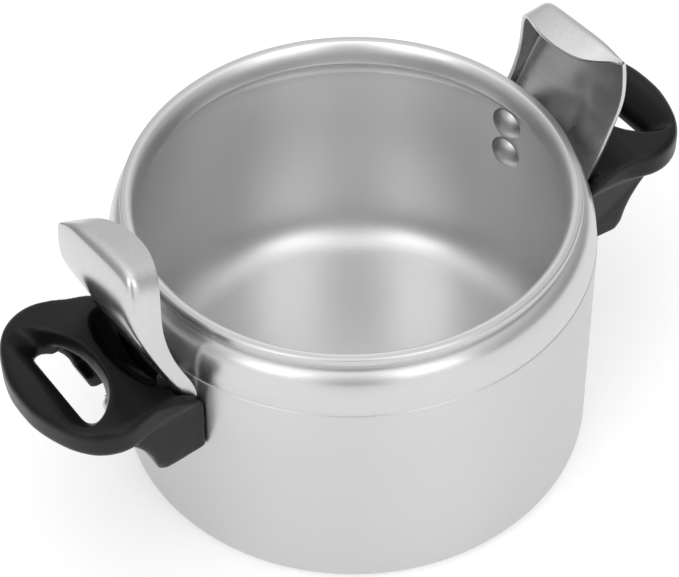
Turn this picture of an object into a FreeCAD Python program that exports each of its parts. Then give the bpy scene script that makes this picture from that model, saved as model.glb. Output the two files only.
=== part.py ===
"""Pressure cooker pot: body, two lock brackets, two side handles and what fastens them.

Frame: origin at the centre of the underside, +Z up, handles along the X axis. Millimetres.
The two sides are the same pieces, turned 180 degrees about Z.
"""
import FreeCAD, Part
import math
import os
import Sketcher

V = FreeCAD.Vector
Z_AXIS = V(0, 0, 1)

# ---------------------------------------------------------------- driving dimensions
DIMENSIONS = {
    # pot body
    "body_radius": 108.0,
    "body_height": 137.0,
    "wall": 3.0,
    "floor": 4.0,
    "base_round": 5.0,
    "floor_fillet": 18.0,
    "wall_top": 110.6,
    "wall_step": 0.4,
    "shoulder_large_radius": 40.0,
    "shoulder_turn": 21.0,
    "shoulder_small_radius": 8.0,
    "rim_radius": 100.7,
    "rim_band": 4.2,
    "rim_round": 1.0,
    "groove_depth": 1.1,
    "groove_width": 1.3,
    "rim_flat_radius": 97.6,
    "lip_radius": 93.6,
    "lip_curve_radius": 13.0,
    "lip_drop": 9.8,
    "lip_edge": 1.4,
    # lock bracket
    "sheet": 2.0,
    "plate_low_x": 109.8,
    "plate_low_z": 99.2,
    "plate_knee_x": 125.2,
    "plate_knee_z": 139.5,
    "plate_curve": 38.0,
    "bend_start_x": 125.4,
    "bend_start_z": 166.2,
    "bend_radius": 5.0,
    "bend_end_x": 120.5,
    "hook_top": 171.1,
    "hook_edge_x": 105.6,
    "hook_edge_top": 169.0,
    "plate_open_y": 31.0,
    "crown_start_y": 6.0,
    "crown_radius": 36.0,
    "stop_corner_y": 14.5,
    "stop_corner_radius": 7.5,
    "stop_top_y": 21.9,
    "stop_top_z": 164.2,
    "stop_curve": 80.0,
    "stop_knee_y": 30.4,
    "stop_knee_z": 130.0,
    "stop_low_y": 33.2,
    "press_radius": 3.5,
    "pad_half_angle": 17.0,
    "pad_top": 101.5,
    "pad_bottom": 72.0,
    # rivets
    "rivet_angle": 11.6,
    "upper_rivet_z": 103.2,
    "lower_rivet_z": 85.2,
    "rivet_head_radius": 8.3,
    "rivet_head_height": 3.6,
    "rivet_shank_radius": 3.5,
    "rivet_tail_radius": 5.6,
    "rivet_tail_height": 2.2,
    "boss_radius": 7.2,
    "boss_seat": 5.2,
    # handle
    "handle_gap": 0.3,
    "handle_top": 114.0,
    "handle_bar": 15.0,
    "handle_top_low": 97.0,
    "handle_wall_half_width": 38.0,
    "handle_half_width": 43.0,
    "handle_wide_x": 139.0,
    "handle_reach": 169.5,
    "handle_corner": 27.0,
    "handle_edge_round": 5.5,
    "skirt_hollow_x": 122.5,
    "skirt_hollow_bottom": 77.0,
    "skirt_hollow_half_width": 31.0,
    "grip_hollow_x": 127.0,
    "grip_hollow_top": 105.5,
    "grip_hollow_half_width": 22.5,
    "hole_inner_x": 136.5,
    "hole_outer_x": 150.5,
    "hole_half_width": 25.5,
    "hole_corner": 4.5,
    "hole_inner_radius": 39.0,
    "leg_bottom": 68.5,
    "leg_front_x": 126.0,
    "leg_root_x": 142.0,
    "arch_half_width": 20.0,
    "arch_top": 90.0,
    "web_front_x": 121.0,
    "recess_x": 112.0,
    "recess_z": 118.0,
    "recess_depth": 15.5,
    "recess_reach": 20.5,
    "recess_half_width": 30.0,
    "foot_room": 4.9,
    # handle fastening
    "stud_z": 79.5,
    "stud_radius": 2.5,
    "washer_radius": 6.0,
    "flat_washer_thickness": 1.2,
    "spring_washer_radius": 4.6,
    "spring_washer_thickness": 1.3,
    "nut_across_flats": 8.0,
    "nut_height": 4.5,
    "nut_dome": 3.0,
}


class Size:
    """A length that carries both its value and the sheet expression it comes from."""

    def __init__(self, value, text):
        self.value = value
        self.text = text

    def _join(self, other, sign, value):
        return Size(value, "(%s %s %s)" % (self.text, sign, text_of(other)))

    def __add__(self, other):
        return self._join(other, "+", self.value + value_of(other))

    def __sub__(self, other):
        return self._join(other, "-", self.value - value_of(other))

    def __mul__(self, other):
        return self._join(other, "*", self.value * value_of(other))

    def __truediv__(self, other):
        return self._join(other, "/", self.value / value_of(other))

    def __neg__(self):
        return Size(-self.value, "(-1 * %s)" % self.text)


def value_of(size):
    return size.value if isinstance(size, Size) else float(size)


def text_of(size):
    return size.text if isinstance(size, Size) else "%.6g" % size


def size(name):
    return D[name].value


def sine(angle):
    return Size(math.sin(math.radians(angle.value)), "sin(%s * 1 deg)" % angle.text)


def cosine(angle):
    return Size(math.cos(math.radians(angle.value)), "cos(%s * 1 deg)" % angle.text)


def square_root(size):
    return Size(math.sqrt(size.value), "sqrt(%s)" % size.text)


doc = FreeCAD.newDocument("pressure_cooker_pot")
sheet = doc.addObject("Spreadsheet::Sheet", "Dims")
D = {}
for row, (alias, number) in enumerate(DIMENSIONS.items(), start=1):
    sheet.set("A%d" % row, alias)
    sheet.set("B%d" % row, "%.6g" % number)
    sheet.setAlias("B%d" % row, alias)
    D[alias] = Size(number, "Dims." + alias)
doc.recompute()

SIDES = {"right": FreeCAD.Rotation(Z_AXIS, 0), "left": FreeCAD.Rotation(Z_AXIS, 180)}


# ---------------------------------------------------------------- helpers
def origin_plane(body, role):
    return [part for part in body.Origin.OriginFeatures if part.Role == role][0]


def arc_through(start, end, radius, left_turn):
    """Arc edge from start to end in the XY plane; left_turn says which way it bends."""
    chord = end - start
    half = chord.Length / 2
    rise = math.sqrt(max(radius * radius - half * half, 0.0))
    normal = V(-chord.y, chord.x, 0).normalize()
    side = 1 if left_turn else -1
    centre = (start + end) * 0.5 + normal * rise * side
    first, last = (start, end) if left_turn else (end, start)
    angles = [math.atan2(point.y - centre.y, point.x - centre.x) for point in (first, last)]
    circle = Part.Circle(centre, Z_AXIS, radius)
    return Part.ArcOfCircle(circle, angles[0], angles[1])


def add_sketch(body, name, role, outlines, offset=0.0):
    """Closed outlines on one of the body's own planes.

    Each outline is a list of (x, y) corners, or (x, y, radius, left_turn) where the side that
    ends at that corner is an arc. Every corner and radius is bound to the sheet.
    """
    sketch = body.newObject("Sketcher::SketchObject", name)
    sketch.AttachmentSupport = [(origin_plane(body, role), "")]
    sketch.MapMode = "FlatFace"
    if value_of(offset):
        sketch.AttachmentOffset = FreeCAD.Placement(V(0, 0, value_of(offset)), FreeCAD.Rotation())
        sketch.setExpression("AttachmentOffset.Base.z", text_of(offset))
    for outline in outlines:
        add_outline(sketch, outline)
    return sketch


def add_outline(sketch, outline):
    corners = [V(value_of(corner[0]), value_of(corner[1]), 0) for corner in outline]
    sides = []
    for index, corner in enumerate(outline):
        start, end = corners[index - 1], corners[index]
        if len(corner) == 2:
            geometry = sketch.addGeometry(Part.LineSegment(start, end), False)
            sides.append((geometry, 1, 2))
            continue
        radius, left_turn = corner[2], corner[3]
        arc = arc_through(start, end, value_of(radius), left_turn)
        geometry = sketch.addGeometry(arc, False)
        sides.append((geometry, 1, 2) if left_turn else (geometry, 2, 1))
        bind(sketch, Sketcher.Constraint("Radius", geometry, value_of(radius)), radius)
    for index, (geometry, _, end_point) in enumerate(sides):
        following, start_point, _ = sides[(index + 1) % len(sides)]
        sketch.addConstraint(Sketcher.Constraint("Coincident", geometry, end_point, following, start_point))
        for direction, size in zip(("DistanceX", "DistanceY"), outline[index][:2]):
            number = value_of(size)
            bind(sketch, Sketcher.Constraint(direction, -1, 1, geometry, end_point, number), size)


def bind(sketch, constraint, size):
    index = sketch.addConstraint(constraint)
    if isinstance(size, Size):
        sketch.setExpression("Constraints[%d]" % index, size.text)


def set_size(feature, name, size):
    setattr(feature, name, value_of(size))
    if isinstance(size, Size):
        feature.setExpression(name, size.text)


def pad(body, name, sketch, length, both_ways=False, reversed_way=False):
    feature = body.newObject("PartDesign::Pad", name)
    feature.Profile = sketch
    set_size(feature, "Length", length)
    feature.SideType = "Symmetric" if both_ways else "One side"
    feature.Reversed = reversed_way
    doc.recompute()
    return feature


def pocket(body, name, sketch, length, both_ways=False, reversed_way=False):
    before = body.Shape.Volume
    feature = body.newObject("PartDesign::Pocket", name)
    feature.Profile = sketch
    set_size(feature, "Length", length)
    feature.SideType = "Symmetric" if both_ways else "One side"
    feature.Reversed = reversed_way
    doc.recompute()
    if body.Shape.Volume >= before - 1.0:
        raise RuntimeError("%s cuts nothing" % name)
    return feature


def revolve(body, name, sketch):
    feature = body.newObject("PartDesign::Revolution", name)
    feature.Profile = sketch
    feature.ReferenceAxis = (sketch, ["V_Axis"])
    feature.Angle = 360
    doc.recompute()
    return feature


def new_body(label, side=None):
    body = doc.addObject("PartDesign::Body", label)
    body.Label = label
    if side:
        body.Placement = FreeCAD.Placement(V(), SIDES[side])
    return body


# ---------------------------------------------------------------- pot body
def pot_profile():
    wall_start = D["wall_top"]
    shoulder_radius = D["body_radius"] - D["wall_step"]
    shoulder_start = wall_start + D["wall_step"]
    turn = D["shoulder_turn"]
    large, small = D["shoulder_large_radius"], D["shoulder_small_radius"]
    knee_r = shoulder_radius - large * (-cosine(turn) + 1)
    knee_z = shoulder_start + large * sine(turn)
    small_centre_r = knee_r - small * cosine(turn)
    small_centre_z = knee_z - small * sine(turn)
    groove_r = D["rim_radius"] - D["groove_depth"]
    groove_z = D["body_height"] - D["rim_band"] - D["groove_width"]
    rise = square_root(small * small - (groove_r - small_centre_r) * (groove_r - small_centre_r))
    neck_z = small_centre_z + rise
    inner_r = D["body_radius"] - D["wall"]
    lip_z = D["body_height"] - D["lip_drop"]
    return [
        (D["body_radius"] - D["base_round"], 0.0),
        (D["body_radius"], D["base_round"], D["base_round"], True),
        (D["body_radius"], wall_start),
        (shoulder_radius, shoulder_start),
        (knee_r, knee_z, large, True),
        (groove_r, neck_z, small, True),
        (groove_r, groove_z + D["groove_width"]),
        (D["rim_radius"], groove_z + D["groove_width"]),
        (D["rim_radius"], D["body_height"] - D["rim_round"]),
        (D["rim_radius"] - D["rim_round"], D["body_height"], D["rim_round"], True),
        (D["rim_flat_radius"], D["body_height"]),
        (D["lip_radius"], lip_z, D["lip_curve_radius"], True),
        (D["lip_radius"] + D["lip_edge"], lip_z - D["lip_edge"], D["lip_edge"], True),
        (inner_r - D["lip_edge"], wall_start + D["rim_band"]),
        (inner_r, wall_start),
        (inner_r, D["floor"] + D["floor_fillet"]),
        (inner_r - D["floor_fillet"], D["floor"], D["floor_fillet"], False),
        (0.0, D["floor"]),
        (0.0, 0.0),
    ]


def make_pot_shell():
    body = new_body("pot_shell")
    sketch = add_sketch(body, "pot_profile", "XZ_Plane", [pot_profile()])
    revolve(body, "pot_turned", sketch)
    return body


def radial_cylinder(radius, start_r, end_r, angle, height_z):
    """A cylinder along a radius of the pot, at an angle from +X and a height."""
    turn = math.radians(angle)
    direction = V(math.cos(turn), math.sin(turn), 0)
    base = direction * start_r + V(0, 0, height_z)
    return Part.makeCylinder(radius, end_r - start_r, base, direction)


# ---------------------------------------------------------------- lock bracket
def flat_wire(outline):
    """Wire in the XY plane from corners given as (x, y) or (x, y, radius, left_turn)."""
    corners = [V(corner[0], corner[1], 0) for corner in outline]
    edges = []
    for index, corner in enumerate(outline):
        start, end = corners[index - 1], corners[index]
        if len(corner) == 2:
            edges.append(Part.makeLine(start, end))
        else:
            edges.append(arc_through(start, end, corner[2], corner[3]).toShape())
    return Part.Wire(Part.sortEdges(edges)[0])


def side_view(reach):
    """Bracket seen along Y, as (x, z): the leaning plate, the bend and the hooked lip's top.

    The open ends, at the foot and towards the pot, run on by reach.
    """
    lean = (size("plate_knee_x") - size("plate_low_x")) / (size("plate_knee_z") - size("plate_low_z"))
    slope = (size("hook_top") - size("hook_edge_top")) / (size("bend_end_x") - size("hook_edge_x"))
    inner_x = size("hook_edge_x") - 30.0 - reach
    low_z = size("plate_low_z") - reach
    inner_z = size("hook_top") - slope * (size("bend_end_x") - inner_x)
    return [
        (size("plate_low_x") - lean * reach, low_z),
        (size("plate_knee_x"), size("plate_knee_z")),
        (size("bend_start_x"), size("bend_start_z"), size("plate_curve"), True),
        (size("bend_end_x"), size("hook_top"), size("bend_radius"), True),
        (inner_x, inner_z),
        (inner_x, low_z),
    ]


def end_view(reach):
    """Bracket seen along X, as (y, z): the crowned lip and the stop flange down one side."""
    flare = (size("stop_low_y") - size("stop_knee_y")) / (size("stop_knee_z") - size("plate_low_z"))
    low_z = size("plate_low_z") - reach
    outside_y = -size("plate_open_y") - 2.0
    crown_start = -size("crown_start_y")
    span = crown_start - outside_y
    drop = size("crown_radius") - math.sqrt(size("crown_radius") ** 2 - span ** 2)
    return [
        (outside_y, low_z),
        (size("stop_low_y") + flare * reach, low_z),
        (size("stop_knee_y"), size("stop_knee_z")),
        (size("stop_top_y"), size("stop_top_z"), size("stop_curve"), True),
        (size("stop_corner_y"), size("hook_top"), size("stop_corner_radius"), True),
        (crown_start, size("hook_top")),
        (outside_y, size("hook_top") - drop, size("crown_radius"), True),
    ]


def pressed_block(inset, reach):
    """The bracket as a solid block; the sheet is what is left between two such blocks."""
    side_face = Part.Face(flat_wire(side_view(reach)))
    end_face = Part.Face(flat_wire(end_view(reach)))
    if inset:
        side_face = side_face.makeOffset2D(-inset)
        end_face = end_face.makeOffset2D(-inset)
    depth = 200.0
    along_y = side_face.extrude(V(0, 0, depth))
    along_y.rotate(V(), V(1, 0, 0), 90)
    along_y.translate(V(0, depth / 2, 0))
    along_x = end_face.extrude(V(0, 0, depth))
    along_x = along_x.transformGeometry(FreeCAD.Matrix(0, 0, 1, 0, 1, 0, 0, 0, 0, 1, 0, 0, 0, 0, 0, 1))
    return along_y.common(along_x)


def hook_trim():
    """What is cut away above the flange so that the lip ends in a curved free edge."""
    edge_x = size("hook_edge_x")
    tip_x = size("bend_start_x") + 3.0
    open_y = -size("plate_open_y") - 1.0
    points = [V(edge_x + 5.5, 26.0, 0), V(edge_x + 1.2, 13.0, 0), V(edge_x, 1.0, 0),
              V(edge_x + 1.6, -12.0, 0), V(edge_x + 7.0, -22.0, 0), V(tip_x, open_y, 0)]
    curve = Part.BSplineCurve()
    curve.interpolate(points)
    back = edge_x - 50.0
    outline = [curve.toShape(), Part.makeLine(points[-1], V(back, open_y, 0)),
               Part.makeLine(V(back, open_y, 0), V(back, 26.0, 0)), Part.makeLine(V(back, 26.0, 0), points[0])]
    prism = Part.Face(Part.Wire(outline)).extrude(V(0, 0, 40.0))
    prism.translate(V(0, 0, size("bend_start_z") - 13.0))
    return prism


def stop_trim():
    """What is cut away so that the stop flange ends in a curved free edge above the wall."""
    top_z = size("hook_edge_top") - size("sheet") - 0.6
    points = [V(size("hook_edge_x") + 4.6, 0, top_z), V(113.6, 0, 151.0), V(114.4, 0, 142.0),
              V(113.0, 0, 133.0), V(109.0, 0, 118.0), V(101.0, 0, size("plate_low_z") - 1.0)]
    curve = Part.BSplineCurve()
    curve.interpolate(points)
    back = size("hook_edge_x") - 60.0
    outline = [curve.toShape(), Part.makeLine(points[-1], V(back, 0, points[-1].z)),
               Part.makeLine(V(back, 0, points[-1].z), V(back, 0, top_z)),
               Part.makeLine(V(back, 0, top_z), points[0])]
    prism = Part.Face(Part.Wire(outline)).extrude(V(0, 120.0, 0))
    prism.translate(V(0, -60.0, 0))
    return prism


def foot_pad():
    """The bracket's curved foot, pressed against the pot's wall."""
    inner_r = size("body_radius") + 0.05
    outer_r = inner_r + size("sheet")
    height = size("pad_top") - size("pad_bottom")
    half = size("pad_half_angle")
    sector = Part.makeCylinder(outer_r, height, V(0, 0, size("pad_bottom")), Z_AXIS, 2 * half)
    sector = sector.cut(Part.makeCylinder(inner_r, height, V(0, 0, size("pad_bottom"))))
    sector.rotate(V(), Z_AXIS, -half)
    return sector


def bracket_shape():
    sheet_metal = pressed_block(0.0, 0.0).cut(pressed_block(size("sheet"), 10.0))
    sheet_metal = sheet_metal.cut(hook_trim()).cut(stop_trim())
    window_y = size("plate_open_y")
    window = Part.makeBox(60.0, window_y + 60.0, 120.0, V(90.0, -window_y, 80.0))
    corner = Part.Face(flat_wire([(-window_y - 5.0, 143.5), (-window_y, 143.5), (-window_y + 2.4, 162.0),
                                  (-window_y + 2.4, 180.0), (-window_y - 5.0, 180.0)]))
    corner = corner.extrude(V(0, 0, 60.0))
    corner = corner.transformGeometry(FreeCAD.Matrix(0, 0, 1, 90.0, 1, 0, 0, 0, 0, 1, 0, 0, 0, 0, 0, 1))
    sheet_metal = sheet_metal.common(window).cut(corner)
    boss = radial_cylinder(size("boss_radius"), size("body_radius") + 0.05, size("body_radius") + size("boss_seat"),
                           size("rivet_angle"), size("upper_rivet_z"))
    shape = sheet_metal.fuse(foot_pad()).fuse(boss)
    wall = Part.makeCylinder(size("body_radius") + 0.05, 150.0)
    shape = shape.cut(wall)
    for height in ("upper_rivet_z", "lower_rivet_z"):
        hole = radial_cylinder(size("rivet_shank_radius") + 0.05, 100.0, 130.0, size("rivet_angle"), size(height))
        shape = shape.cut(hole)
    tail_seat = radial_cylinder(size("rivet_tail_radius") + 0.3, size("body_radius") + size("boss_seat"), 130.0,
                                size("rivet_angle"), size("upper_rivet_z"))
    shape = shape.cut(tail_seat)
    return shape.removeSplitter()


def make_bracket(side):
    bracket = doc.addObject("Part::Feature", side + "_lock_bracket")
    bracket.Label = side + "_lock_bracket"
    bracket.Shape = bracket_shape()
    bracket.Placement = FreeCAD.Placement(V(), SIDES[side])
    return bracket


# ---------------------------------------------------------------- rivets
def make_rivet(side, name, height, seat_r):
    """Domed head inside the wall, shank through wall and bracket, formed tail on the bracket."""
    body = new_body(side + "_" + name)
    head = D["rivet_head_radius"]
    dome = D["rivet_head_height"]
    shank = D["rivet_shank_radius"]
    base = D["body_radius"] - D["wall"] - 0.35
    dome_radius = (head * head + dome * dome) / (dome * 2)
    tail_end = seat_r + D["rivet_tail_height"]
    tail_round = D["rivet_tail_height"] * 0.75
    outline = [
        (0.0, tail_end),
        (D["rivet_tail_radius"] - tail_round, tail_end),
        (D["rivet_tail_radius"], tail_end - tail_round, tail_round, False),
        (D["rivet_tail_radius"], seat_r),
        (shank, seat_r),
        (shank, base),
        (head, base),
        (0.0, base - dome, dome_radius, False),
    ]
    sketch = add_sketch(body, name + "_profile_" + side, "XZ_Plane", [outline])
    revolve(body, name + "_turned_" + side, sketch)
    body.Placement = turned(side, along_radius(0.0, value_of(height), size("rivet_angle")))
    return body


# ---------------------------------------------------------------- side handle
def handle_outline():
    """Handle seen from above: straight cheeks, round corners and a bowed front."""
    half, corner = D["handle_half_width"], D["handle_corner"]
    long_arm = D["handle_reach"] - D["handle_wide_x"]
    side_arm = half - corner
    bow = (long_arm * long_arm + side_arm * side_arm - corner * corner) / ((long_arm - corner) * 2)
    bow_x = D["handle_reach"] - bow
    to_corner = D["handle_wide_x"] - bow_x
    length = square_root(to_corner * to_corner + side_arm * side_arm)
    meet_x = bow_x + bow * to_corner / length
    meet_y = bow * side_arm / length
    back_x = D["body_radius"] - 14.0
    wall_half = D["handle_wall_half_width"]
    return [
        (back_x, -wall_half),
        (D["leg_front_x"], -wall_half - 0.6),
        (D["handle_wide_x"], -half, 60.0, False),
        (meet_x, -meet_y, corner, True),
        (meet_x, meet_y, bow, True),
        (D["handle_wide_x"], half, corner, True),
        (D["leg_front_x"], wall_half + 0.6, 60.0, False),
        (back_x, wall_half),
    ]


def finger_hole():
    corner = D["hole_corner"]
    half = D["hole_half_width"]
    outer = D["hole_outer_x"]
    tip_x = outer - corner * 2
    return [
        (outer, half - corner),
        (outer - corner, half, corner, True),
        (tip_x, half - 2.4, corner, True),
        (tip_x, -half + 2.4, D["hole_inner_radius"], True),
        (outer - corner, -half, corner, True),
        (outer, -half + corner, corner, True),
    ]


def leg_profile():
    """Handle seen along Y, as (x, z): the two legs under the cheeks."""
    back_x = D["body_radius"] - 14.0
    top = D["handle_top"] - D["handle_bar"] + 1.0
    return [
        (back_x, top),
        (back_x, D["leg_bottom"]),
        (D["leg_front_x"] - 2.0, D["leg_bottom"]),
        (D["leg_front_x"], D["leg_bottom"] + 4.0, 4.5, True),
        (D["leg_root_x"], top, 34.0, False),
    ]


def hollow_block(body, label, inner_x, low, high, half_width):
    """Opens the underside of the moulding from inner_x out to the outer edge of the finger hole."""
    outer_x = D["hole_outer_x"]
    view = add_sketch(body, label + "_view", "XZ_Plane", [[
        (inner_x, low), (outer_x, low), (outer_x, high), (inner_x, high)]])
    pocket(body, label, view, half_width * 2, both_ways=True)


def make_handle(side):
    body = new_body(side + "_handle_moulding", side)
    top, bar = D["handle_top"], D["handle_bar"]
    wall_half = D["handle_wall_half_width"]
    back_x = D["body_radius"] - 14.0
    plan = add_sketch(body, side + "_handle_plan", "XY_Plane", [handle_outline()], top - bar)
    pad(body, side + "_handle_plate", plan, bar)
    legs = add_sketch(body, side + "_leg_view", "XZ_Plane", [leg_profile()])
    pad(body, side + "_legs", legs, wall_half * 2, both_ways=True)
    arch_half = D["arch_half_width"]
    arch = add_sketch(body, side + "_arch_view", "YZ_Plane", [[
        (-arch_half, D["leg_bottom"] - 1.0), (arch_half, D["leg_bottom"] - 1.0), (arch_half, D["arch_top"]),
        (-arch_half, D["arch_top"], arch_half * 1.6, True)]], D["web_front_x"])
    pocket(body, side + "_arch", arch, 40.0, reversed_way=True)
    hole = add_sketch(body, side + "_hole_plan", "XY_Plane", [finger_hole()], top)
    pocket(body, side + "_finger_hole", hole, top - D["leg_bottom"])
    underside = top - bar
    hollow_block(body, side + "_skirt_hollow", D["skirt_hollow_x"], D["skirt_hollow_bottom"], underside,
                 D["skirt_hollow_half_width"])
    hollow_block(body, side + "_grip_hollow", D["grip_hollow_x"], underside, D["grip_hollow_top"],
                 D["grip_hollow_half_width"])
    slope = add_sketch(body, side + "_slope_view", "XZ_Plane", [[
        (D["handle_wide_x"], top + 1.0), (D["handle_wide_x"] - 2.0, top),
        (D["body_radius"] + 3.0, D["handle_top_low"] + 9.5), (back_x, D["handle_top_low"] - 5.0),
        (back_x, top + 1.0)]])
    pocket(body, side + "_top_slope", slope, D["handle_half_width"] * 4, both_ways=True)
    return hollow_handle(side, body)


def turned(side, placement):
    return FreeCAD.Placement(V(), SIDES[side]) * placement


def along_radius(distance, height, angle=0.0):
    """Placement whose Z axis points out along a radius, at an angle from +X."""
    out = FreeCAD.Rotation(Z_AXIS, angle) * FreeCAD.Rotation(V(0, 1, 0), 90)
    return FreeCAD.Placement(out.multVec(Z_AXIS) * distance + V(0, 0, height), out)


def cut(label, base, tool):
    feature = doc.addObject("Part::Cut", label)
    feature.Label = label
    feature.Base = base
    feature.Tool = tool
    doc.recompute()
    if feature.Shape.Volume >= base.Shape.Volume - 0.5:
        raise RuntimeError("%s cuts nothing" % label)
    return feature


def cylinder(label, radius, height, placement):
    feature = doc.addObject("Part::Cylinder", label)
    set_size(feature, "Radius", radius)
    set_size(feature, "Height", height)
    feature.Placement = placement
    return feature


def hollow_handle(side, moulding):
    """Scoops the recess behind the bracket and makes room for the wall, bracket and stud."""
    recess = doc.addObject("Part::Ellipsoid", side + "_recess")
    for radius, name in (("Radius1", "recess_depth"), ("Radius2", "recess_reach"), ("Radius3", "recess_half_width")):
        set_size(recess, radius, D[name])
    recess.Angle1, recess.Angle2, recess.Angle3 = -90, 90, 360
    recess.Placement = turned(side, FreeCAD.Placement(V(size("recess_x"), 0, size("recess_z")), FreeCAD.Rotation()))
    upright = FreeCAD.Placement()
    wall_room = cylinder(side + "_wall_room", D["body_radius"] + D["handle_gap"], D["body_height"], upright)
    foot_height = D["pad_top"] + 1.0 - D["pad_bottom"]
    foot_start = size("pad_bottom") - 0.5
    foot_angle = size("pad_half_angle") + 0.5
    foot_room = cylinder(side + "_foot_room", D["body_radius"] + D["foot_room"], foot_height,
                         turned(side, FreeCAD.Placement(V(0, 0, foot_start), FreeCAD.Rotation(Z_AXIS, -foot_angle))))
    foot_room.Angle = 2 * foot_angle
    gap = D["handle_gap"] / 2
    plate_room = new_body(side + "_plate_room", side)
    view = add_sketch(plate_room, side + "_plate_room_view", "XZ_Plane", [[
        (D["plate_low_x"] + gap - 0.8, D["plate_low_z"] - 2.0),
        (D["plate_knee_x"] + gap + 1.2, D["plate_knee_z"] + 3.0),
        (D["body_radius"] - 20.0, D["plate_knee_z"] + 3.0),
        (D["body_radius"] - 20.0, D["plate_low_z"] - 2.0)]])
    pad(plate_room, side + "_plate_room_block", view, D["stop_low_y"] * 2 + 1.0, both_ways=True)
    tail_room = cylinder(side + "_tail_room", D["boss_radius"] + 0.3, D["boss_seat"] + D["rivet_tail_height"] + 0.4,
                         turned(side, along_radius(size("body_radius"), size("upper_rivet_z"), size("rivet_angle"))))
    stud_room = cylinder(side + "_stud_room", D["stud_radius"] + 0.3, 40.0,
                         turned(side, along_radius(size("body_radius"), size("stud_z"))))
    shape = moulding
    for step, tool in (("recess", recess), ("wall", wall_room), ("foot", foot_room), ("plate", plate_room),
                       ("tail", tail_room)):
        shape = cut("%s_handle_less_%s" % (side, step), shape, tool)
    return cut(side + "_handle", shape, stud_room)


# ---------------------------------------------------------------- handle fastening
def turned_piece(side, name, start_x, outline):
    """A round piece on the stud's axis; its outline is (radius, distance from start_x)."""
    body = new_body(side + "_" + name)
    sketch = add_sketch(body, side + "_" + name + "_profile", "XZ_Plane", [outline])
    revolve(body, side + "_" + name + "_turned", sketch)
    body.Placement = turned(side, along_radius(value_of(start_x), size("stud_z")))
    return body


def ring(inner, outer, thickness):
    return [(inner, 0.0), (outer, 0.0), (outer, thickness), (inner, thickness)]


def make_fastening(side):
    seat = D["web_front_x"]
    flat, spring = D["flat_washer_thickness"], D["spring_washer_thickness"]
    radius, bore = D["stud_radius"], D["stud_radius"] + 0.2
    chamfer, flange = 0.5, 1.2
    stud_start = D["body_radius"] + D["sheet"] + 0.05
    length = seat + flat + spring + D["nut_height"] - stud_start
    stud = turned_piece(side, "handle_stud", stud_start, [
        (0.0, 0.0), (radius + flange, 0.0), (radius + flange, flange), (radius, flange),
        (radius, length - chamfer), (radius - chamfer, length), (0.0, length)])
    flat_washer = turned_piece(side, "flat_washer", seat, ring(bore, D["washer_radius"], flat))
    spring_washer = turned_piece(side, "spring_washer", seat + flat, ring(bore, D["spring_washer_radius"], spring))
    return [stud, flat_washer, spring_washer, make_cap_nut(side, seat + flat + spring)]


def make_cap_nut(side, start_x):
    """Hexagonal nut with a domed cap over the end of the stud."""
    body = new_body(side + "_cap_nut")
    height, rise = D["nut_height"], D["nut_dome"]
    corner = D["nut_across_flats"] / math.sqrt(3.0)
    turns = [math.radians(60.0 * turn) for turn in range(6)]
    hexagon = [(corner * math.cos(turn), corner * math.sin(turn)) for turn in turns]
    pad(body, side + "_nut_block", add_sketch(body, side + "_nut_hexagon", "XY_Plane", [hexagon]), height)
    cap = D["nut_across_flats"] / 2 - 0.4
    dome_radius = (cap * cap + rise * rise) / (rise * 2)
    dome = add_sketch(body, side + "_nut_dome_profile", "XZ_Plane", [[
        (0.0, height - 0.3), (cap, height - 0.3), (cap, height), (0.0, height + rise, dome_radius, True)]])
    revolve(body, side + "_nut_dome", dome)
    bore = D["stud_radius"] + 0.03
    hole = add_sketch(body, side + "_nut_bore_view", "XZ_Plane", [[
        (0.0, 0.0), (bore, 0.0), (bore, height + 0.2), (0.0, height + 0.2)]])
    groove = body.newObject("PartDesign::Groove", side + "_nut_bore")
    groove.Profile = hole
    groove.ReferenceAxis = (hole, ["V_Axis"])
    groove.Angle = 360
    body.Placement = turned(side, along_radius(value_of(start_x), size("stud_z")))
    doc.recompute()
    return body


# ---------------------------------------------------------------- assembly
def drill_pot(body):
    """The rivet holes through the wall, two on each side."""
    for side in SIDES:
        for name in ("upper_rivet", "lower_rivet"):
            place = turned(side, along_radius(size("body_radius") - 20.0, size(name + "_z"), size("rivet_angle")))
            drill = cylinder("%s_%s_drill" % (side, name), D["rivet_shank_radius"] + 0.05, 30.0, place)
            body = cut("pot_less_%s_%s" % (side, name), body, drill)
    body.Label = "pot_body"
    return body


def main():
    pieces = {"pot_body": drill_pot(make_pot_shell())}
    seats = {"upper_rivet": D["body_radius"] + D["boss_seat"], "lower_rivet": D["body_radius"] + D["sheet"] + 0.05}
    for side in SIDES:
        pieces[side + "_lock_bracket"] = make_bracket(side)
        for name, seat in seats.items():
            pieces["%s_%s" % (side, name)] = make_rivet(side, name, D[name + "_z"], seat)
        pieces[side + "_handle"] = hollow = make_handle(side)
        hollow.Label = side + "_handle"
        for piece in make_fastening(side):
            pieces[piece.Label] = piece
    doc.recompute()
    for item in doc.Objects:
        if "Invalid" in item.State or "Error" in item.State:
            raise RuntimeError("%s failed: %s" % (item.Name, item.State))
    os.makedirs("parts", exist_ok=True)
    for name, piece in pieces.items():
        shape = piece.Shape
        if shape.isNull() or not shape.isValid() or len(shape.Solids) != 1:
            raise RuntimeError("%s isn't one valid solid" % name)
        shape.exportStep(os.path.join("parts", name + ".step"))
        print("%-24s %9.0f mm3" % (name, shape.Volume))


main()
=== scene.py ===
"""Looks of the open pressure cooker pot: spun pot, pressed brackets, moulded handles, rivets.

Everything is in metres in the part's own frame: the pot stands on z 0, the right handle
points along +X, and the left side is the right side turned half a turn about Z.
"""
import math

import bmesh
import bpy
from mathutils import Matrix, Vector


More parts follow.
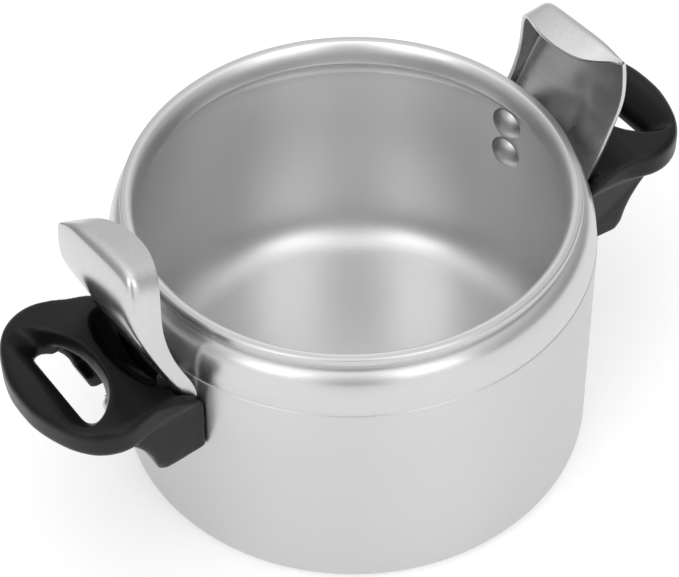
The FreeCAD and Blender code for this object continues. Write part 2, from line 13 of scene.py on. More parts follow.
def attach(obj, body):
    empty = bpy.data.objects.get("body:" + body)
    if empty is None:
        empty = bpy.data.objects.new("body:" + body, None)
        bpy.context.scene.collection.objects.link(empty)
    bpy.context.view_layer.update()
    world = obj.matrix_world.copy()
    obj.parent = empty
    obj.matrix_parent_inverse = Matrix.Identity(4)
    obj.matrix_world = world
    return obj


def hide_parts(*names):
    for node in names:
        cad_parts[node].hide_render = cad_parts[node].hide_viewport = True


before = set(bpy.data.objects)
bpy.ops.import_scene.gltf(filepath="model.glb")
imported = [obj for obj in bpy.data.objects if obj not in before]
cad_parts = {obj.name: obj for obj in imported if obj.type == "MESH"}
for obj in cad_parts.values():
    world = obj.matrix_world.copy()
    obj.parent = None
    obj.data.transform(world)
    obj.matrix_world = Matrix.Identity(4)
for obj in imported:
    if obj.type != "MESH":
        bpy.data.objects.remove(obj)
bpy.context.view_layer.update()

MM = 0.001

# Sizes in mm that more than one piece or finish needs.
POT_RADIUS = 108.0
RECESS_CENTRE = Vector((112.0, 0.0, 118.0))
RECESS_REACH = Vector((15.5, 30.5, 22.5))


# ---------------------------------------------------------------- materials
class Finish:
    """A node material, built up one named layer at a time."""

    def __init__(self, name, colour, roughness, metallic=0.0):
        self.material = bpy.data.materials.new(name)
        self.material.use_nodes = True
        self.tree = self.material.node_tree
        self.shader = self.tree.nodes["Principled BSDF"]
        self.shader.inputs["Base Color"].default_value = (*colour, 1.0)
        self.shader.inputs["Roughness"].default_value = roughness
        self.shader.inputs["Metallic"].default_value = metallic
        self.coordinates = self.add("ShaderNodeTexCoord")
        self.bumps = None

    def add(self, kind, **values):
        node = self.tree.nodes.new(kind)
        for key, value in values.items():
            setattr(node, key, value)
        return node

    def link(self, source, target):
        self.tree.links.new(source, target)

    def stretched(self, scale):
        """Object coordinates scaled along each axis."""
        mapping = self.add("ShaderNodeMapping")
        mapping.inputs["Scale"].default_value = scale
        self.link(self.coordinates.outputs["Object"], mapping.inputs["Vector"])
        return mapping.outputs["Vector"]

    def height_and_radius(self, height_scale, radius_scale):
        """Coordinates that only change with height and distance from the pot's axis, for turned marks."""
        split = self.add("ShaderNodeSeparateXYZ")
        self.link(self.coordinates.outputs["Object"], split.inputs[0])
        across = self.add("ShaderNodeCombineXYZ")
        self.link(split.outputs["X"], across.inputs["X"])
        self.link(split.outputs["Y"], across.inputs["Y"])
        length = self.add("ShaderNodeVectorMath", operation="LENGTH")
        self.link(across.outputs[0], length.inputs[0])
        rings = self.add("ShaderNodeCombineXYZ")
        for source, factor, axis in ((split.outputs["Z"], height_scale, "Z"),
                                     (length.outputs["Value"], radius_scale, "X")):
            times = self.add("ShaderNodeMath", operation="MULTIPLY")
            times.inputs[1].default_value = factor
            self.link(source, times.inputs[0])
            self.link(times.outputs[0], rings.inputs[axis])
        return rings.outputs[0]

    def noise(self, vector, scale, detail=3.0, roughness=0.5):
        node = self.add("ShaderNodeTexNoise")
        node.inputs["Scale"].default_value = scale
        node.inputs["Detail"].default_value = detail
        node.inputs["Roughness"].default_value = roughness
        self.link(vector, node.inputs["Vector"])
        return node.outputs["Fac"]

    def spread(self, value, low, high, start=0.3, end=0.7):
        """Maps a noise value from start..end to low..high."""
        node = self.add("ShaderNodeMapRange")
        node.inputs["From Min"].default_value = start
        node.inputs["From Max"].default_value = end
        node.inputs["To Min"].default_value = low
        node.inputs["To Max"].default_value = high
        self.link(value, node.inputs["Value"])
        return node.outputs["Result"]

    def above(self, value, start, end):
        """Share that rises from 0 to 1 between two places, in mm."""
        return self.spread(value, 0.0, 1.0, start * MM, end * MM)

    def below(self, value, start, end):
        """Share that falls from 1 to 0 between two places, in mm."""
        return self.spread(value, 1.0, 0.0, start * MM, end * MM)

    def both(self, first, second):
        """Share that is 1 only where two shares both are."""
        node = self.add("ShaderNodeMath", operation="MULTIPLY")
        self.link(first, node.inputs[0])
        self.link(second, node.inputs[1])
        return node.outputs[0]

    def blend(self, share, first, second, **kind):
        """Goes from first to second as share rises; each is a number, a colour or another node's output."""
        node = self.add("ShaderNodeMix", **kind)
        for name, value in (("Factor", share), ("A", first), ("B", second)):
            if isinstance(value, bpy.types.NodeSocket):
                self.link(value, node.inputs[name])
            else:
                node.inputs[name].default_value = (*value, 1.0) if isinstance(value, tuple) else value
        return node.outputs["Result"]

    def blend_colour(self, share, first, second, **kind):
        return self.blend(share, first, second, data_type="RGBA", **kind)

    def colour(self, socket):
        self.link(socket, self.shader.inputs["Base Color"])

    def roughness(self, socket):
        self.link(socket, self.shader.inputs["Roughness"])

    def bump(self, height, strength, distance):
        node = self.add("ShaderNodeBump")
        node.inputs["Strength"].default_value = strength
        node.inputs["Distance"].default_value = distance
        self.link(height, node.inputs["Height"])
        if self.bumps:
            self.link(self.bumps, node.inputs["Normal"])
        self.bumps = node.outputs["Normal"]
        self.link(self.bumps, self.shader.inputs["Normal"])

    def within_recess(self, centre, reach):
        """1 inside an egg-shaped hollow on either side of the pot, 0 outside it."""
        both_sides = self.add("ShaderNodeVectorMath", operation="ABSOLUTE")
        self.link(self.coordinates.outputs["Object"], both_sides.inputs[0])
        offset = self.add("ShaderNodeVectorMath", operation="SUBTRACT")
        offset.inputs[1].default_value = centre
        self.link(both_sides.outputs[0], offset.inputs[0])
        shares = self.add("ShaderNodeVectorMath", operation="DIVIDE")
        shares.inputs[1].default_value = reach
        self.link(offset.outputs[0], shares.inputs[0])
        distance = self.add("ShaderNodeVectorMath", operation="LENGTH")
        self.link(shares.outputs[0], distance.inputs[0])
        return self.spread(distance.outputs["Value"], 1.0, 0.0, 1.02, 1.07)

    def turned_grain(self, amount):
        """Highlights drawn out across marks that run round the pot's axis."""
        tangent = self.add("ShaderNodeTangent", direction_type="RADIAL", axis="Z")
        self.shader.inputs["Anisotropic"].default_value = amount
        self.shader.inputs["Anisotropic Rotation"].default_value = 0.25
        self.link(tangent.outputs[0], self.shader.inputs["Tangent"])


def spun_aluminium(name, outside, inside, nose_painted_light):
    """Turned aluminium: fine rings round the axis, soft cloudy patches, a polished shoulder; the inside and the
    rolled rim nose are painted a lighter grey as painted light.
    """
    finish = Finish(name, outside, 0.35, 1.0)
    rings = finish.noise(finish.height_and_radius(2600.0, 2600.0), 1.0, 2.0, 0.7)
    cloud = finish.noise(finish.stretched((9.0, 9.0, 5.0)), 1.0, 3.0)
    where = finish.add("ShaderNodeSeparateXYZ")
    finish.link(finish.height_and_radius(1.0, 1.0), where.inputs[0])
    radius, height = where.outputs["X"], where.outputs["Z"]
    shoulder = finish.both(finish.above(height, 110.4, 112.0), finish.below(height, 127.0, 133.0))
    finish.roughness(finish.blend(shoulder, finish.spread(cloud, 0.32, 0.38), finish.spread(cloud, 0.25, 0.29)))
    # Painted light: the inside below the rim is painted a brighter grey than the outside, standing in for light.
    well = finish.both(finish.below(radius, 106.0, 106.6), finish.below(height, 106.0, 116.0))
    # Painted highlight: the rolled nose of the rim is painted a lighter grey to brighten it.
    rim_nose = finish.both(finish.below(radius, 97.0, 98.6), finish.above(height, 125.0, 126.5))
    metal_with_painted_light = finish.blend_colour(rim_nose, finish.blend_colour(well, outside, inside), nose_painted_light)
    marks = finish.blend_colour(finish.spread(rings, 0.0, 1.0), (0.965, 0.965, 0.965), (1.0, 1.0, 1.0))
    finish.colour(finish.blend_colour(1.0, metal_with_painted_light, marks, blend_type="MULTIPLY"))
    finish.bump(rings, 0.2, 0.00003)
    finish.turned_grain(0.75)
    return finish.material


def cold_headed_rivet(name):
    """Aluminium rivet: soft sheen over the dome, with small dents from the setting tool."""
    finish = Finish(name, (0.66, 0.66, 0.66), 0.36, 1.0)
    dents = finish.noise(finish.stretched((260.0, 260.0, 260.0)), 1.0, 3.0)
    finish.roughness(finish.spread(dents, 0.33, 0.42))
    finish.bump(dents, 0.15, 0.00015)
    return finish.material


def polished_steel(name):
    """Pressed steel with a satin polish: clouded sheen, faint ripples left by the press."""
    finish = Finish(name, (0.59, 0.59, 0.595), 0.2, 1.0)
    smear = finish.noise(finish.stretched((30.0, 30.0, 30.0)), 1.0, 3.0, 0.55)
    finish.roughness(finish.spread(smear, 0.22, 0.29))
    grain = finish.noise(finish.stretched((700.0, 700.0, 60.0)), 1.0, 2.0)
    finish.colour(finish.blend_colour(finish.spread(grain, 0.0, 1.0),
                                      (0.575, 0.575, 0.58), (0.605, 0.605, 0.61)))
    finish.bump(smear, 0.05, 0.0004)
    return finish.material


def phenolic_black(name):
    """Black moulded plastic: satin skin with a fine grain, polished smooth in the recess behind the bracket."""
    finish = Finish(name, (0.008, 0.008, 0.009), 0.4)
    finish.shader.inputs["Specular IOR Level"].default_value = 0.22
    grain = finish.noise(finish.stretched((1400.0, 1400.0, 1400.0)), 1.0, 2.0)
    patches = finish.noise(finish.stretched((45.0, 45.0, 45.0)), 1.0, 3.0)
    finish.colour(finish.blend_colour(patches, (0.004, 0.004, 0.005), (0.008, 0.008, 0.009)))
    recess = finish.within_recess(RECESS_CENTRE * MM, RECESS_REACH * MM)
    finish.roughness(finish.blend(recess, finish.spread(patches, 0.27, 0.36), 0.09))
    finish.bump(grain, 0.08, 0.00004)
    return finish.material


def zinc_steel(name):
    """Zinc-plated fastenings: a mottled, slightly blue grey."""
    finish = Finish(name, (0.55, 0.56, 0.58), 0.3, 1.0)
    patches = finish.noise(finish.stretched((400.0, 400.0, 400.0)), 1.0, 3.0)
    finish.roughness(finish.spread(patches, 0.24, 0.42))
    finish.colour(finish.blend_colour(patches, (0.48, 0.49, 0.51), (0.62, 0.63, 0.65)))
    finish.bump(patches, 0.1, 0.00005)
    return finish.material


# Painted light: the inside grey is brighter than the outside to light the interior, not the metal's own tone.
POT_METAL = spun_aluminium("spun_aluminium", outside=(0.62, 0.62, 0.62), inside=(0.765, 0.765, 0.765),
                           # Painted highlight: the rim nose grey is lighter to brighten the rim.
                           nose_painted_light=(0.84, 0.84, 0.84))
STEEL = polished_steel("pressed_steel")
BLACK = phenolic_black("black_phenolic")
RIVET_METAL = cold_headed_rivet("rivet_aluminium")
ZINC = zinc_steel("zinc_plated_steel")

for node_name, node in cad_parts.items():
    if "rivet" in node_name:
        material = RIVET_METAL
    elif node_name.endswith("_bracket"):
        material = STEEL
    elif node_name.endswith("_handle"):
        material = BLACK
    elif node_name == "pot_body":
        material = POT_METAL
    else:
        material = ZINC
    node.data.materials.clear()
    node.data.materials.append(material)


# ---------------------------------------------------------------- modelling helpers
def deselect():
    if bpy.context.mode != "OBJECT":
        bpy.ops.object.mode_set(mode="OBJECT")
    bpy.ops.object.select_all(action="DESELECT")


def pick(obj):
    deselect()
    obj.select_set(True)
    bpy.context.view_layer.objects.active = obj


def edit(obj, everything=True):
    pick(obj)
    bpy.ops.object.mode_set(mode="EDIT")
    bpy.ops.mesh.select_all(action="SELECT" if everything else "DESELECT")


def drawn_line(name, points, closed=False):
    """A chain of edges drawn by extruding one point along the given places, in mm."""
    places = [Vector(point) * MM for point in points]
    deselect()
    bpy.ops.mesh.primitive_plane_add(size=MM)
    obj = bpy.context.object
    obj.name = name
    bpy.ops.object.mode_set(mode="EDIT")
    bpy.ops.mesh.merge(type="CENTER")
    bpy.ops.transform.translate(value=places[0])
    for here, there in zip(places, places[1:]):
        bpy.ops.mesh.extrude_vertices_move(TRANSFORM_OT_translate={"value": there - here})
    if closed:
        mesh = bmesh.from_edit_mesh(obj.data)
        mesh.verts.ensure_lookup_table()
        mesh.verts[0].select = True
        bmesh.update_edit_mesh(obj.data)
        bpy.ops.mesh.edge_face_add()
    bpy.ops.object.mode_set(mode="OBJECT")
    return obj


def prism(name, outline, depth):
    """A filled outline pushed out by depth, in mm."""
    obj = drawn_line(name, outline, closed=True)
    edit(obj)
    bpy.ops.mesh.edge_face_add()
    bpy.ops.mesh.extrude_region_move(TRANSFORM_OT_translate={"value": Vector(depth) * MM})
    finish_faces(obj)
    return obj


def pushed_across(name, side_view, half_width):
    """A side view's outline, in (x, z), pushed through by the same width either side of Y 0."""
    return prism(name, [(x, -half_width, z) for x, z in side_view], (0, 2 * half_width, 0))


def box(name, start, end, half_width, low, high):
    """A box from start to end along X, the same width either side of Y 0."""
    corners = ((start, -half_width), (end, -half_width), (end, half_width), (start, half_width))
    return prism(name, [(x, y, low) for x, y in corners], (0, 0, high - low))


def finish_faces(obj, gap=0.00001):
    """Merges doubled places closer than gap, in metres, and turns the faces outwards."""
    edit(obj)
    bpy.ops.mesh.remove_doubles(threshold=gap)
    bpy.ops.mesh.normals_make_consistent(inside=False)
    bpy.ops.object.mode_set(mode="OBJECT")


def turned_shape(name, profile, steps):
    """A closed shape spun about Z from (radius, height) places in mm, first and last on the axis."""
    obj = drawn_line(name, [(radius, 0, height) for radius, height in profile])
    edit(obj)
    bpy.ops.mesh.spin(steps=steps, angle=math.tau, center=(0, 0, 0), axis=(0, 0, 1))
    finish_faces(obj)
    return obj


def modify(obj, kind, **settings):
    pick(obj)
    modifier = obj.modifiers.new(kind.lower(), kind)
    for key, value in settings.items():
        setattr(modifier, key, value)
    bpy.ops.object.modifier_apply(modifier=modifier.name)
    return obj


def carve(obj, *tools, operation="DIFFERENCE"):
    for tool in tools:
        modify(obj, "BOOLEAN", operation=operation, solver="EXACT", object=tool)
        bpy.data.objects.remove(tool)
    return obj


def through_points(points, steps):
    """Smooth line through flat places, with steps places for each stretch between two."""
    last = len(points) - 1
    line = []
    for index in range(last):
        before, start, end, after = (Vector(points[min(max(index + offset, 0), last)]) for offset in (-1, 0, 1, 2))
        for step in range(steps):
            along = step / steps
            line.append(0.5 * (2 * start + (end - before) * along
                               + (2 * before - 5 * start + 4 * end - after) * along ** 2
                               + (3 * start - before - 3 * end + after) * along ** 3))
    return line + [Vector(points[-1])]


def smooth_outline(half, steps):
    """Closed smooth outline in (x, y) from the half of it that has y at least 0."""
    line = [(place.x, place.y) for place in through_points(half, steps)]
    return [(x, -y) for x, y in reversed(line) if y > 0.01] + line


def rounded_by(obj, degrees):
    """Smooth shading, with edges sharper than the angle kept."""
    pick(obj)
    bpy.ops.object.shade_smooth_by_angle(angle=math.radians(degrees))


def place_piece(obj, name, material, node):
    """Names and finishes a piece, fixes it to the pot's body and hides its CAD node, whose place it takes."""
    obj.name = name
    obj.data.name = name
    obj.data.materials.clear()
    obj.data.materials.append(material)
    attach(obj, "root")
    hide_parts(node)
    return obj


def for_the_left(obj):
    """A copy with its own mesh, turned half a turn about Z."""
    pick(obj)
    bpy.ops.object.duplicate(linked=False)
    copy = bpy.context.object
    edit(copy)
    bpy.ops.transform.rotate(value=math.pi, orient_axis="Z", center_override=(0, 0, 0))
    bpy.ops.object.mode_set(mode="OBJECT")
    return copy


# ---------------------------------------------------------------- side handles
GRIP_TOP, GRIP_LOW, LEG_LOW = 114.0, 99.0, 68.5
LEG_HALF_WIDTH = 37.4
HOLE_CENTRE = 137.5
HOLLOW_END = 150.2
BOSS_HEIGHT, BOSS_RADIUS = 79.5, 8.0
BOSS_START, BOSS_LENGTH = 112.0, 9.2
REMESH_SIZE = 0.75


def grip_plate():
    half = [(94, 38.0), (112, 38.2), (124, 38.8), (131, 40.8), (139, 42.8), (147, 42.0), (155, 37.8),
            (161.5, 30.0), (166, 20.0), (168.8, 9.5), (169.4, 0.0)]
    plate = prism("grip", [(x, y, GRIP_LOW) for x, y in smooth_outline(half, 4)], (0, 0, GRIP_TOP - GRIP_LOW))
    return modify(plate, "BEVEL", width=6.8 * MM, segments=6, limit_method="ANGLE",
                  angle_limit=math.radians(60), profile=0.5)


def finger_hole():
    """The hole's cutter: straight up through the grip, then flared so the top dips towards it."""
    half = [(133.9, 0.0), (134.6, 8.0), (137.0, 15.5), (140.2, 20.8), (143.6, 24.3), (146.6, 25.2),
            (149.3, 23.6), (150.4, 20.0), (150.5, 12.0), (150.5, 0.0)]
    cutter = drawn_line("hole", [(x, y, 60.0) for x, y in smooth_outline(half, 3)], closed=True)
    edit(cutter)
    bpy.ops.mesh.edge_face_add()
    centre = Vector((HOLE_CENTRE, 0, 0)) * MM
    for rise, wide, long in ((43.5, 1.0, 1.0), (2.5, 1.07, 1.04), (2.5, 1.13, 1.06), (2.5, 1.17, 1.07),
                             (2.0, 1.16, 1.07), (1.5, 1.14, 1.06), (4.0, 1.4, 1.15)):
        bpy.ops.mesh.extrude_region_move(TRANSFORM_OT_translate={"value": (0, 0, rise * MM)})
        bpy.ops.transform.resize(value=(wide, long, 1.0), center_override=centre)
    finish_faces(cutter)
    return cutter


def legs():
    """Both legs as one block, a little narrower at the bottom."""
    side_view = [(94, 104), (94, LEG_LOW), (123.5, LEG_LOW), (126, 70.0), (127.2, 74.0), (128.8, 79.5),
                 (131.5, 85.0), (135.0, 90.0), (139.5, 95.0), (144.0, 100.0), (144.0, 104.0)]
    block = pushed_across("legs", side_view, LEG_HALF_WIDTH)
    edit(block, everything=False)
    mesh = bmesh.from_edit_mesh(block.data)
    for vertex in mesh.verts:
        vertex.select = vertex.co.z < (LEG_LOW + 0.5) * MM
    mesh.select_flush_mode()
    bmesh.update_edit_mesh(block.data)
    bpy.ops.transform.resize(value=(1.0, 0.955, 1.0), center_override=(0, 0, 0))
    bpy.ops.object.mode_set(mode="OBJECT")
    return modify(block, "BEVEL", width=2.2 * MM, segments=3, limit_method="ANGLE", angle_limit=math.radians(50))


def ball(name, centre, reach):
    """An egg shape about a centre, in mm."""
    deselect()
    bpy.ops.mesh.primitive_uv_sphere_add(segments=64, ring_count=32, radius=MM, location=(0, 0, 0))
    obj = bpy.context.object
    obj.name = name
    edit(obj)
    bpy.ops.transform.resize(value=reach, center_override=(0, 0, 0))
    bpy.ops.transform.translate(value=centre * MM)
    bpy.ops.object.mode_set(mode="OBJECT")
    return obj


def circle(radius, sides):
    """Flat places round a circle."""
    turns = [math.tau * turn / sides for turn in range(sides)]
    return [(radius * math.cos(turn), radius * math.sin(turn)) for turn in turns]


def pot_room(radius):
    """The cutter that makes room for the pot's wall."""
    return prism("wall", [(x, y, 50.0) for x, y in circle(radius, 128)], (0, 0, 90.0))


def stud_boss():
    """The boss that the fastening's washers sit on, as it stands in the arch."""
    outline = [(BOSS_START, y, BOSS_HEIGHT + rise) for y, rise in circle(BOSS_RADIUS, 48)]
    return prism("stud_boss", outline, (BOSS_LENGTH, 0, 0))


def handle_cutters():
    """What is cut from the moulding: sloped top, arch between the legs, hollows, finger hole, recess, pot."""
    top = [(146, 114.05), (139, 113.9), (131, 113.0), (124, 111.0), (116, 108.2), (110, 105.6), (105.5, 102.2),
           (102, 98.0), (99, 93.0), (90, 84.0), (90, 130.0), (146, 130.0)]
    arch = [(-20.5, 60), (20.5, 60), (20.5, 84), (17, 88), (9, 91), (0, 92), (-9, 91), (-17, 88), (-20.5, 84)]
    return [pushed_across("slope", top, 60.0),
            carve(prism("arch", [(114.0, y, z) for y, z in arch], (67, 0, 0)), stud_boss()),
            box("skirt_hollow", 122.5, HOLLOW_END, 31.0, 77.0, 99.5),
            box("grip_hollow", 127.0, HOLLOW_END, 22.5, 90.0, 105.5),
            finger_hole(),
            ball("recess", RECESS_CENTRE, RECESS_REACH),
            pot_room(POT_RADIUS + 0.5)]


def bracket_room():
    """What is cut from the moulding last, so that it stays crisp: the bracket's foot and plate, the pot."""
    turns = [math.radians(turn) for turn in range(-18, 19, 2)]
    foot = [(113.1 * math.cos(turn), 113.1 * math.sin(turn), 71.4) for turn in turns]
    return [prism("foot_room", foot + [(90, 25, 71.4), (90, -25, 71.4)], (0, 0, 31.0)),
            pushed_across("plate_room", [(109.6, 97), (127.0, 143), (88, 143), (88, 97)], 33.8),
            pot_room(POT_RADIUS + 0.3)]


def side_handle():
    handle = carve(grip_plate(), legs(), operation="UNION")
    carve(handle, *handle_cutters())
    modify(handle, "REMESH", mode="VOXEL", voxel_size=REMESH_SIZE * MM, use_smooth_shade=True)
    modify(handle, "SMOOTH", factor=0.5, iterations=14)
    carve(handle, *bracket_room())
    rounded_by(handle, 50)
    return handle


def make_handles():
    right = side_handle()
    left = for_the_left(right)
    place_piece(right, "right_side_handle", BLACK, "right_handle")
    place_piece(left, "left_side_handle", BLACK, "left_handle")


make_handles()


# ---------------------------------------------------------------- lock brackets
# Pairs of (height, place) in mm: the plate's distance from the axis, the corner where the stop turns in,
# and the stop's free edge. BEND and LIP_EDGE are the places along the hook's bend and its free edge.
PLATE_LEAN = ((99.2, 109.8), (134.0, 123.1), (141.0, 125.9), (148.0, 127.3), (155.0, 127.6), (161.5, 127.0),
              (167.0, 126.0), (172.0, 125.2))
CORNER_SIDE = ((99.2, 33.2), (130.0, 30.4), (141.0, 29.0), (148.0, 27.5), (155.0, 25.6), (161.5, 23.4),
               (167.0, 22.2), (172.0, 21.6))
STOP_REACH = ((99.2, 102.9), (105.0, 102.9), (122.0, 110.5), (133.5, 113.0), (141.0, 114.4), (148.0, 113.9),
              (155.0, 113.1), (161.5, 112.0), (166.0, 110.7))
STOP_SIDE = ((99.2, 33.3), (105.0, 33.3), (122.0, 30.8), (133.5, 29.7), (141.0, 29.2), (148.0, 28.2),
             (155.0, 26.9), (161.5, 25.0), (166.0, 23.0))
BEND = ((126.8, -30.0, 164.8), (126.6, -23.0, 170.0), (126.2, -16.0, 171.6), (125.8, -10.5, 171.9),
        (125.2, -4.0, 172.2), (124.6, 4.0, 172.2), (124.2, 11.0, 171.9), (123.2, 21.8, 171.1))
LIP_EDGE = ((125.0, -28.6, 165.8), (112.5, -21.8, 167.4), (108.4, -15.0, 167.8), (107.0, -9.5, 168.1),
            (105.7, -3.0, 168.6), (105.6, 4.0, 169.0), (106.6, 11.5, 169.0), (109.8, 22.3, 168.1))
PRESSED_COLUMN = 3
FOOT_Z, PLATE_TOP = 99.2, 172.0
LIP_LOW = 166.0
ROWS_IN_FROM_BEND = (0.45, 0.75, 1.0)
FOOT_HALF_ANGLE = 17.0


def between(table, value):
    """Value read off a table of (place, value) pairs, straight between the pairs."""
    for (low, first), (high, second) in zip(table, table[1:]):
        if value <= high:
            break
    share = min(max((value - low) / (high - low), 0.0), 1.0)
    return first + (second - first) * share


def extruded_rows(name, rows):
    """A sheet: one row of places drawn, then extruded to each next row."""
    sheet = drawn_line(name, rows[0])
    edit(sheet)
    for here, there in zip(rows, rows[1:]):
        bpy.ops.mesh.extrude_edges_move()
        mesh = bmesh.from_edit_mesh(sheet.data)
        new_row = [vertex for vertex in mesh.verts if vertex.select]
        order = [min(new_row, key=lambda vertex: (vertex.co - Vector(place) * MM).length) for place in here]
        for vertex in new_row:
            vertex.select = False
        for vertex, start, end in zip(order, here, there):
            vertex.select = True
            bpy.ops.transform.translate(value=(Vector(end) - Vector(start)) * MM)
            vertex.select = False
        for vertex in order:
            vertex.select = True
        mesh.select_flush_mode()
        for edge in mesh.edges:
            edge.select = edge.verts[0] in order and edge.verts[1] in order
        bmesh.update_edit_mesh(sheet.data)
    bpy.ops.object.mode_set(mode="OBJECT")
    return sheet


def plate_row(height):
    """Places across the plate at one height, from the open edge to the stop's corner, then along the stop."""
    row = []
    corner = between(CORNER_SIDE, height)
    sides = (-30.4, -22.0, -14.0, -9.5, -3.0, corner - 17.0, corner - 9.0, corner)
    share = (height - FOOT_Z) / (PLATE_TOP - FOOT_Z)
    for column, (side, top) in enumerate(zip(sides, BEND)):
        z = FOOT_Z + share * (top[2] - FOOT_Z)
        if column == 0:
            side -= max(0.0, 1.0 - abs(height - 143.0) / 45.0)
        leaning = max(0.0, side + 12.0) * 0.05 * max(0.0, (height - 139.0) / 33.0)
        pressed = 0.0
        if column == PRESSED_COLUMN and height > FOOT_Z:
            pressed = min(3.0 * max(0.0, (142.0 - height) / 30.0), 2.1)
        row.append((between(PLATE_LEAN, z) - leaning + pressed, side, z))
    reach, stop_side = between(STOP_REACH, height), between(STOP_SIDE, height)
    turn_x, _, turn_z = row[-1]
    for share in ROWS_IN_FROM_BEND:
        row.append((turn_x + (reach - turn_x) * share, corner + (stop_side - corner) * share,
                    turn_z - (turn_z - min(turn_z, LIP_LOW)) * share))
    return row


def pressed_sheet():
    """The bracket's plate, stop and hooked lip: a coarse sheet, subdivided and given its thickness."""
    lip_rows = [[tuple(a + (b - a) * share for a, b in zip(bend, edge)) for bend, edge in zip(BEND, LIP_EDGE)]
                for share in ROWS_IN_FROM_BEND]
    rows = [plate_row(height) for height in (FOOT_Z, 107.0, 116.0, 125.0, 134.0, 143.0, 154.0)]
    rows.append(list(BEND) + [row[-1] for row in lip_rows])
    plate = extruded_rows("plate", rows)
    lip = extruded_rows("lip", [list(BEND)] + lip_rows)
    pick(plate)
    lip.select_set(True)
    bpy.ops.object.join()
    finish_faces(plate, gap=0.0002)
    outward = sum(face.normal.x for face in plate.data.polygons if face.center.x > 0.122)
    if outward < 0:
        edit(plate)
        bpy.ops.mesh.flip_normals()
        bpy.ops.object.mode_set(mode="OBJECT")
    modify(plate, "SUBSURF", levels=3, render_levels=3)
    modify(plate, "SOLIDIFY", thickness=2.0 * MM, offset=-1.0, use_even_offset=True)
    return modify(plate, "BEVEL", width=0.35 * MM, segments=2, limit_method="ANGLE", angle_limit=math.radians(55))


def wall_foot():
    """The bracket's curved foot, which lies against the pot."""
    turn = math.radians(FOOT_HALF_ANGLE)
    corners = ((108.05, 72.0), (110.05, 72.0), (110.05, 101.5), (108.05, 101.5))
    section = drawn_line("foot", [(radius * math.cos(turn), radius * math.sin(turn), z) for radius, z in corners],
                         closed=True)
    edit(section)
    bpy.ops.mesh.edge_face_add()
    bpy.ops.mesh.spin(steps=24, angle=math.radians(2 * FOOT_HALF_ANGLE), center=(0, 0, 0), axis=(0, 0, 1))
    finish_faces(section)
    return modify(section, "BEVEL", width=0.4 * MM, segments=2, limit_method="ANGLE", angle_limit=math.radians(60))


def make_brackets():
    right = pressed_sheet()
    foot = wall_foot()
    pick(right)
    foot.select_set(True)
    bpy.ops.object.join()
    rounded_by(right, 40)
    left = for_the_left(right)
    place_piece(right, "right_bracket", STEEL, "right_lock_bracket")
    place_piece(left, "left_bracket", STEEL, "left_lock_bracket")


make_brackets()


# ---------------------------------------------------------------- pot
def arc(centre, radius, start, end, steps):
    """Places on an arc in the (radius, height) plane; angles in degrees from the outward direction."""
    turns = [math.radians(start + (end - start) * step / steps) for step in range(steps + 1)]
    return [(centre[0] + radius * math.cos(turn), centre[1] + radius * math.sin(turn)) for turn in turns]


def pot_profile():
    """Half section as (radius, height): from under the middle, up the outside, over the rim and down inside."""
    knee = math.radians(21.0)
    large, small = 40.0, 8.0
    large_centre = (107.6 - large, 111.0)
    reach = large - small
    small_centre = (large_centre[0] + reach * math.cos(knee), large_centre[1] + reach * math.sin(knee))
    neck = math.degrees(math.acos((99.6 - small_centre[0]) / small))
    profile = [(0.0, 0.0), (60.0, 0.0), (96.0, 0.0)]
    profile += arc((103.0, 5.0), 5.0, -90, 0, 8)
    profile += [(108.0, 40.0), (108.0, 75.0), (108.0, 109.9), (107.9, 110.3), (107.62, 110.6), (107.6, 111.0)]
    profile += arc(large_centre, large, 1.5, 21.0, 10) + arc(small_centre, small, 27.0, neck, 10)
    profile += arc((100.0, 131.8), 0.45, 190, 120, 3)
    profile += arc((99.9, 133.6), 0.8, -80, 0, 4) + arc((99.6, 135.9), 1.1, 0, 90, 7)
    profile += [(98.6, 137.0)] + arc((97.4, 124.0), 13.0, 90, 87, 1)
    rolled_nose = [(97.4, 137.0), (96.2, 136.3), (95.2, 135.1), (94.4, 133.3), (93.9, 131.2), (93.65, 129.0),
                   (93.6, 127.2)]
    profile += [(place.x, place.y) for place in through_points(rolled_nose, 3)[1:]]
    profile += [(93.75, 126.3), (94.5, 125.8), (95.6, 125.6), (100.5, 120.0), (104.0, 114.5), (105.0, 110.5)]
    profile += [(105.0, 80.0), (105.0, 45.0)]
    profile += arc((87.0, 22.0), 18.0, 0, -90, 16) + [(60.0, 4.0), (30.0, 4.0), (0.0, 4.0)]
    return profile


def make_pot():
    pot = turned_shape("pot", pot_profile(), steps=180)
    rounded_by(pot, 40)
    place_piece(pot, "pot_shell", POT_METAL, "pot_body")


make_pot()


# ---------------------------------------------------------------- studio
TOWARDS_CAMERA = Vector((-0.566, -0.825, 0.0))
TO_THE_RIGHT = Vector((0.825, -0.566, 0.0))

# The tent's brightness by turn from the front, 0, to the back, 1, and right overhead.
SKY_BY_TURN = ((0.0, 0.5), (0.04, 0.56), (0.11, 1.0), (0.25, 1.02), (0.36, 0.5), (0.6, 0.36), (1.0, 0.7))
SKY_OVERHEAD, OVERHEAD_FALLOFF = 1.3, 4.0
TENT_STRENGTH = 1.1

# Soft boxes: name, distance to the right, power.
SOFT_BOXES = (("left_box", -0.62, 1.6), ("right_box", 0.55, 1.4))
BOX_FORWARD, BOX_HEIGHT = 0.8, 1.05
BOX_WIDTH, BOX_LENGTH = 0.55, 0.9
BOX_TARGET = (0, 0, 0.08)

FLOOR_SIZE, FLOOR_HEIGHT, FLOOR_GLOW = 60.0, -0.0004, 0.26

CAMERA_PLACE = (-0.4295, -0.6258, 0.8742)
CAMERA_TARGET = (-0.0051, 0.0034, 0.0737)
CAMERA_ROLL = math.radians(-1.27)
LENS, SENSOR = 129.2, 36.0


def look_at(obj, target, roll=0.0):
    forward = (Vector(target) - obj.location).normalized()
    turn = forward.to_track_quat("-Z", "Y").to_matrix().to_4x4()
    obj.matrix_world = Matrix.Translation(obj.location) @ turn @ Matrix.Rotation(roll, 4, "Z")


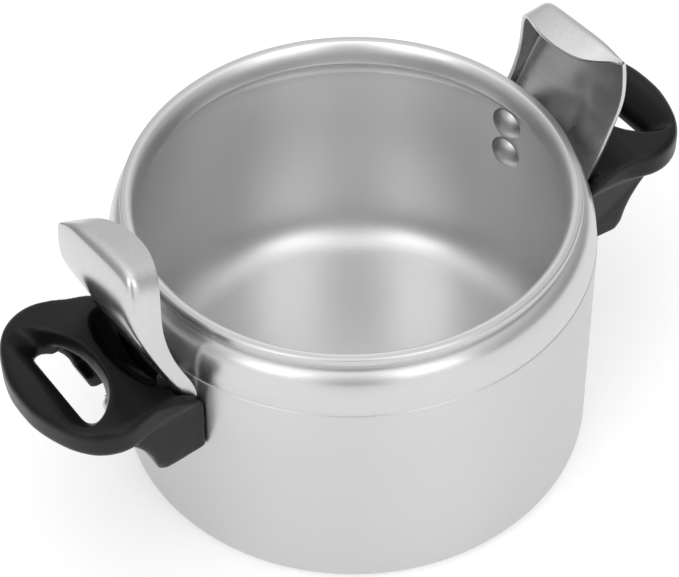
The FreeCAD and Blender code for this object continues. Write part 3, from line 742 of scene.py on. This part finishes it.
def soft_box(name, place, power):
    data = bpy.data.lights.new(name, "AREA")
    data.shape = "RECTANGLE"
    data.size, data.size_y = BOX_WIDTH, BOX_LENGTH
    data.energy = power
    lamp = bpy.data.objects.new(name, data)
    bpy.context.scene.collection.objects.link(lamp)
    lamp.location = place
    look_at(lamp, BOX_TARGET)


def light_tent():
    """White tent round the table: brightest to the left and right of the front, darker at the sides."""
    world = bpy.data.worlds.new("tent")
    bpy.context.scene.world = world
    world.use_nodes = True
    tree = world.node_tree
    place = tree.nodes.new("ShaderNodeTexCoord")

    def maths(kind, first, second=None):
        node = tree.nodes.new("ShaderNodeMath")
        node.operation = kind
        for socket, value in zip(node.inputs, (first, second)):
            if isinstance(value, (int, float)):
                socket.default_value = value
            elif value is not None:
                tree.links.new(value, socket)
        return node.outputs[0]

    def along(direction):
        node = tree.nodes.new("ShaderNodeVectorMath")
        node.operation = "DOT_PRODUCT"
        node.inputs[1].default_value = direction
        tree.links.new(place.outputs["Object"], node.inputs[0])
        return node.outputs["Value"]

    turn = maths("ABSOLUTE", maths("ARCTAN2", along(TO_THE_RIGHT), along(TOWARDS_CAMERA)))
    ramp = tree.nodes.new("ShaderNodeValToRGB")
    ramp.color_ramp.interpolation = "EASE"
    tree.links.new(maths("DIVIDE", turn, math.pi), ramp.inputs["Fac"])
    stops = ramp.color_ramp.elements
    last = len(SKY_BY_TURN) - 1
    for index, (position, grey) in enumerate(SKY_BY_TURN):
        if index in (0, last):
            stop = stops[0 if index == 0 else -1]
        else:
            stop = stops.new(position)
        stop.position = position
        stop.color = (grey, grey, grey, 1.0)
    overhead = tree.nodes.new("ShaderNodeMix")
    overhead.data_type = "RGBA"
    overhead.inputs["B"].default_value = (SKY_OVERHEAD, SKY_OVERHEAD, SKY_OVERHEAD, 1.0)
    tree.links.new(maths("POWER", maths("MAXIMUM", along((0, 0, 1)), 0.0), OVERHEAD_FALLOFF),
                   overhead.inputs["Factor"])
    tree.links.new(ramp.outputs["Color"], overhead.inputs["A"])
    tree.links.new(overhead.outputs["Result"], tree.nodes["Background"].inputs["Color"])
    tree.nodes["Background"].inputs["Strength"].default_value = TENT_STRENGTH


def studio():
    light_tent()
    bpy.context.scene.view_settings.view_transform = "Standard"
    bpy.ops.mesh.primitive_plane_add(size=FLOOR_SIZE, location=(0.0, 0.0, FLOOR_HEIGHT))
    floor = bpy.context.object
    floor.name = "floor"
    paper = Finish("paper_floor", (0.86, 0.86, 0.86), 0.9)
    paper.shader.inputs["Emission Color"].default_value = (1.0, 1.0, 1.0, 1.0)
    paper.shader.inputs["Emission Strength"].default_value = FLOOR_GLOW
    floor.data.materials.append(paper.material)
    for name, side, power in SOFT_BOXES:
        place = TOWARDS_CAMERA * BOX_FORWARD + TO_THE_RIGHT * side + Vector((0, 0, BOX_HEIGHT))
        soft_box(name, place, power)


def camera():
    data = bpy.data.cameras.new("camera")
    cam = bpy.data.objects.new("camera", data)
    bpy.context.scene.collection.objects.link(cam)
    cam.location = CAMERA_PLACE
    data.lens = LENS
    data.sensor_width = SENSOR
    look_at(cam, CAMERA_TARGET, CAMERA_ROLL)
    bpy.context.scene.camera = cam


studio()
camera()
